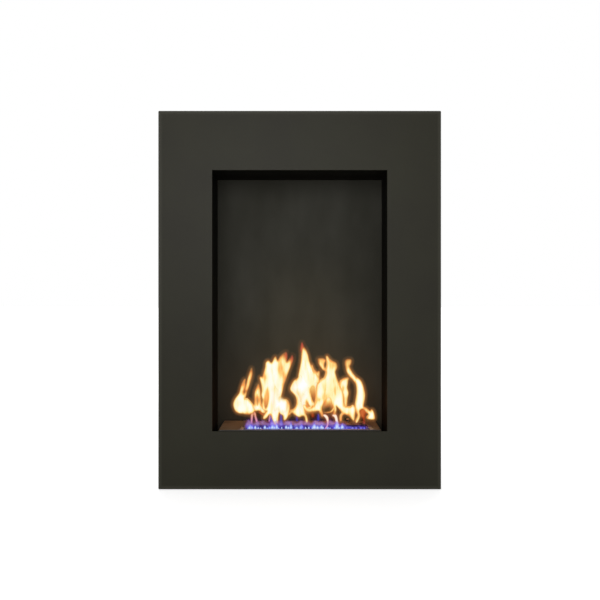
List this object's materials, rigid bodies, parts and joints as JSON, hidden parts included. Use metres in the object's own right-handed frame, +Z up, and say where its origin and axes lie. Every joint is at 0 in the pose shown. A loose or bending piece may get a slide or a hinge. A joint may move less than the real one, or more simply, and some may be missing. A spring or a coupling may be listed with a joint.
{
  "type": "fireplace insert",
  "caption": "Upright bioethanol fireplace insert: wide flat steel frame, shallow insulated firebox, slot burner with a sliding shutter and pull rod, wall bracket.",
  "frame": {"origin": "on the wall, midway between the two screw holes of the wall bracket", "axes": "+X to the right as seen from the room, +Y from the room into the wall, +Z up"},
  "size_m": [0.65, 0.1662, 0.87],
  "materials": {
    "frame_coating": "satin powder coat",
    "liner_coating": "matte heat-proof paint",
    "galvanised_steel": "galvanised, spangled",
    "stainless_steel": "brushed, heat-tinted",
    "zinc_steel": "zinc plated",
    "rivet_steel": "plain",
    "insulation_board": "matte mineral board",
    "ceramic_wool": "fibrous",
    "black_rubber": "matte"
  },
  "bodies": {
    "root": {"front_frame": "frame_coating", "frame_studs": "zinc_steel", "frame_washers": "zinc_steel", "frame_nuts": "zinc_steel", "liner_left": "liner_coating", "liner_right": "liner_coating", "liner_roof": "liner_coating", "liner_floor": "liner_coating", "liner_back": "liner_coating", "liner_rivets": "rivet_steel", "insulation_left": "insulation_board", "insulation_right": "insulation_board", "insulation_top": "insulation_board", "insulation_bottom": "insulation_board", "insulation_back": "insulation_board", "casing_left": "galvanised_steel", "casing_right": "galvanised_steel", "casing_top": "galvanised_steel", "casing_bottom": "galvanised_steel", "casing_back": "galvanised_steel", "casing_rivets": "rivet_steel", "wall_bracket": "galvanised_steel", "hook_rail": "galvanised_steel", "hook_rivets": "rivet_steel", "wall_bumpers": "black_rubber", "burner_rail_left": "stainless_steel", "burner_rail_right": "stainless_steel"},
    "burner": {"burner_tank": "stainless_steel", "fuel_tray": "stainless_steel", "ceramic_wool": "ceramic_wool", "wool_grid": "stainless_steel", "burner_plate": "stainless_steel", "guide_left": "stainless_steel", "guide_right": "stainless_steel", "guide_rivets": "rivet_steel"},
    "shutter": {"shutter_plate": "stainless_steel", "shutter_pillar": "stainless_steel", "pillar_cap": "stainless_steel"},
    "handle": {"pull_rod": "stainless_steel"}
  },
  "joints": [
    {"name": "burner_lift", "type": "slide", "parent": "root", "child": "burner", "axis": [0, 0, 1], "range_m": [0, 0.12]},
    {"name": "shutter_slide", "type": "slide", "parent": "burner", "child": "shutter", "axis": [0, -1, 0], "range_m": [0, 0.044]},
    {"name": "rod_swivel", "type": "hinge", "parent": "shutter", "child": "handle", "pos_m": [0.1164, -0.0762, -0.532], "axis": [0, 0, 1], "range_deg": [-75, 60]}
  ]
}
